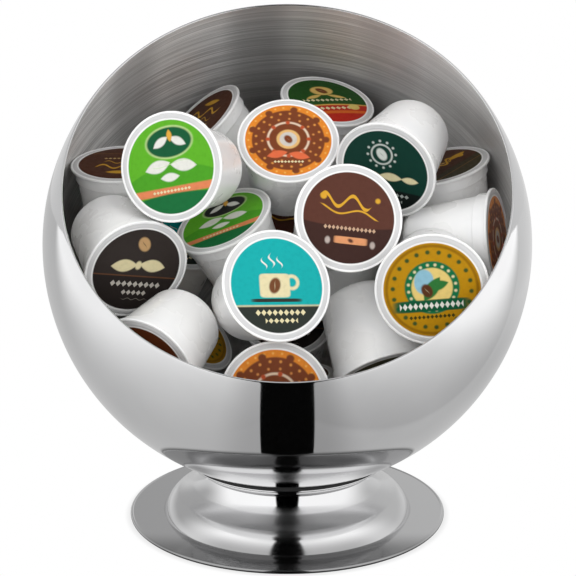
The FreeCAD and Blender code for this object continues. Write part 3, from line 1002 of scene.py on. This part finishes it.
def makePods():
    cup, lidShape = cupMesh(), lidMesh()
    cup.materials.append(podPlastic())
    bodies = set(frame["bodies"])
    for name, material in lidPrints.items():
        place = podMatrix(name)
        body = name if name in bodies else "basket"
        for part, mesh in (("cup", cup), ("lid", lidShape.copy())):
            thing = addObject(f"{name}_{part}_fine", mesh)
            thing.matrix_world = place
            if part == "lid":
                mesh.materials.append(material)
            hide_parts(f"{name}_{part}")
            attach(thing, body)


makePods()
print("pods ready")

# Room that the steel mirrors; heights and ways forward are those of a direction, from -1 to 1
studio = {
    "frontGlow": 1.32,          # the two tall soft boxes beside the dark strip
    "backGlow": (0.45, 0.62),   # behind on the left and on the right
    "horizonGlow": 0.75,
    "topGlow": 0.70,
    "horizonHeight": (0.32, 0.02),
    "boxStart": (-0.55, 0.25),
    "topStart": (0.75, 0.95),
    "stripWidth": 0.27,         # half width over reach
    "stripSoft": 0.02,
    "stripTop": (0.93, 0.86),
}

# Floor, in metres: a plain tone; it glows white to the camera, with a painted shadow round the
# foot, and glows as paper with painted light and shade to the steel
paper = {
    "size": 6.0,
    "tone": 0.50,
    "near": 0.62,                   # mirrored tone by the foot
    "far": 1.32,                    # and further off
    "growth": (0.11, 0.42),         # way ahead over which it changes
    "rightEdge": (-0.08, 0.08),     # across the front of the foot
    "nearRight": 0.87,
    "farEdge": (0.2, 0.4),          # further to the right
    "farRight": 1.25,
    "flagShadeEdge": (0.012, 0.052),    # painted shade beside the flag
    "flagShade": (0.80, 0.70),          # on its left and on its right
    "contactShadowEdge": (0.0805, 0.086),     # painted shadow, way out from the foot's axis
    "contactShadow": 0.10,
    "shadowEdge": (0.0812, 0.085),      # the same as the camera sees it
    "shadow": 0.84,
}

# Dark strip on the floor in front, which only the steel sees: y and half width in metres
flagStrip = {
    "stations": [(-0.0815, 0.0190), (-0.190, 0.033), (-0.60, 0.13), (-2.9, 0.76)],
    "lift": 0.0006,
    "tone": 0.002,
}

# Lamps: place and size in metres, power in watts
lampAim = (0, 0, 0.14)
lamps = {
    "left box": ((-0.9, -1.1, 0.9), (0.9, 0.9), 2.7),
    "right box": ((0.9, -1.1, 0.9), (0.9, 0.9), 2.7),
    "top box": ((0, -0.3, 1.4), (1.2, 0.8), 1.0),
    "front fill": ((0, -1.5, 0.45), (1.2, 0.5), 7.0),
}

# Camera, as found from the photograph
cameraSettings = {
    "place": (0.0, -0.5949, 0.2407),   # m
    "pitchDown": 11.8,                 # degrees
    "lens": 75.0,                      # mm
    "sensor": 36.0,
    "shiftX": 0.0012,
}


def mirroredPaper(paint, here):
    # painted light and shade on the floor as the steel mirrors it: brighter ahead, with painted
    # shadow under the foot's edge and painted shade beside the flag and on the right
    x, y, _ = paint.split(here)
    wide = paint.math("ABSOLUTE", x)
    ahead = paint.math("SUBTRACT", paint.math("MULTIPLY", wide, 0.9), y)
    tone = paint.span(ahead, *paper["growth"], paper["near"], paper["far"])
    near = paint.span(x, *paper["rightEdge"], 1.0, paper["nearRight"])
    near = paint.math("MAXIMUM", near, paint.span(ahead, 0.20, 0.14))
    far = paint.span(x, *paper["farEdge"], 1.0, paper["farRight"])
    away = paint.vector("LENGTH", here)
    contactShadow = paint.span(away, *paper["contactShadowEdge"], paper["contactShadow"], 1.0)
    aside = paint.math("MULTIPLY_ADD", y, 0.15, wide)
    flagShade = paint.span(x, -0.01, 0.01, *paper["flagShade"])
    beside = paint.span(aside, *paper["flagShadeEdge"], flagShade, 1.0)
    beside = paint.math("MAXIMUM", beside, paint.span(y, -0.06, 0.0))
    return paint.product(tone, near, far, contactShadow, beside)


def makeFloor():
    half = paper["size"] / 2
    corners = [(-half, -half, 0), (half, -half, 0), (half, half, 0), (-half, half, 0)]
    paint = Paint("floor")
    here = paint.object()
    tone = [paper["tone"]] * 3
    paint.cover(None, tinted(tone))
    paint.cover(paint.span(paint.noise(here, 0.8, 2.0), 0.3, 0.7), tinted(tone, 0.96))
    material = paint.finish(Roughness=0.9)
    away = paint.vector("LENGTH", here)
    # the floor glows for the steel with painted light and shade, and white for the camera with a
    # painted shadow round the foot
    mirrored = paint.glow("ShaderNodeEmission", mirroredPaper(paint, here))
    under = paint.span(away, *paper["shadowEdge"], paper["shadow"], 1.0)
    seen = paint.glow("ShaderNodeEmission", under)
    path = paint.add("ShaderNodeLightPath").outputs
    mix = paint.choose(path["Is Glossy Ray"], paint.shader.outputs[0], mirrored)
    mix = paint.choose(path["Is Camera Ray"], mix, seen)
    paint.link(mix, paint.output.inputs["Surface"])
    return addObject("floor", newMesh("floor", corners, [(0, 1, 2, 3)]), material)


def makeFlag():
    stations, lift = flagStrip["stations"], flagStrip["lift"]
    corners = [(-half, y, lift) for y, half in stations]
    corners += [(half, y, lift) for y, half in reversed(stations)]
    paint = Paint("flag")
    felt = paint.noise(paint.object(), 400.0, 2.0)
    tone = [flagStrip["tone"]] * 3
    paint.cover(None, tinted(tone))
    paint.cover(paint.span(felt, 0.4, 0.7), tinted(tone, 2.0))
    material = paint.finish(Roughness=1.0, Specular_IOR_Level=0.0)
    thing = addObject("flag", newMesh("flag", corners, [tuple(range(len(corners)))]), material)
    thing.visible_camera = False
    thing.visible_diffuse = False
    thing.visible_shadow = False
    return thing


def makeWorld():
    # a soft room: two tall white boxes in front with a dark strip between them, a paler back
    world = bpy.data.worlds.new("studio")
    bpy.context.scene.world = world
    world.use_nodes = True
    sky = NodeSet(world.node_tree)
    x, y, z = sky.split(sky.add("ShaderNodeTexCoord").outputs["Generated"])
    front = sky.math("MULTIPLY", y, -1.0)
    ratio = sky.math("DIVIDE", sky.math("ABSOLUTE", x), sky.math("MAXIMUM", front, 0.001))
    back = sky.span(x, -0.12, 0.12, *studio["backGlow"])
    back = sky.span(z, *studio["horizonHeight"], back, studio["horizonGlow"])
    around = sky.blend(sky.span(front, *studio["boxStart"]), back, studio["frontGlow"])
    room = sky.blend(sky.span(z, *studio["topStart"]), around, studio["topGlow"])
    width, soft = studio["stripWidth"], studio["stripSoft"]
    strip = sky.product(
        sky.span(ratio, width + soft, width - soft),
        sky.span(z, *studio["stripTop"]),
        sky.span(front, 0.0, 0.05),
    )
    lit = sky.glow("ShaderNodeBackground", sky.product(room, sky.math("SUBTRACT", 1.0, strip)))
    plain = sky.glow("ShaderNodeBackground")
    mix = sky.choose(sky.add("ShaderNodeLightPath").outputs["Is Camera Ray"], lit, plain)
    sky.link(mix, sky.add("ShaderNodeOutputWorld").inputs["Surface"])


def makeLamps():
    for name, (place, size, power) in lamps.items():
        light = bpy.data.lights.new(name, "AREA")
        light.shape = "RECTANGLE"
        light.size, light.size_y = size
        light.energy = power
        thing = addObject(name, light)
        turn = (Vector(lampAim) - Vector(place)).to_track_quat("-Z", "Y")
        thing.matrix_world = Matrix.Translation(place) @ turn.to_matrix().to_4x4()
        thing.visible_glossy = False
        thing.visible_camera = False


def makeCamera():
    data = bpy.data.cameras.new("camera")
    data.lens = cameraSettings["lens"]
    data.sensor_width = cameraSettings["sensor"]
    data.shift_x = cameraSettings["shiftX"]
    data.clip_start = 0.01   # m
    thing = addObject("camera", data)
    thing.location = cameraSettings["place"]
    thing.rotation_euler = (math.radians(90 - cameraSettings["pitchDown"]), 0, 0)
    bpy.context.scene.camera = thing


floor, flag = makeFloor(), makeFlag()
for thing in (floor, flag):
    thing.location.y = -axisForward * mm
makeWorld()
makeLamps()
makeCamera()
bpy.context.scene.view_settings.view_transform = "Standard"
print("stage, lights and camera ready")
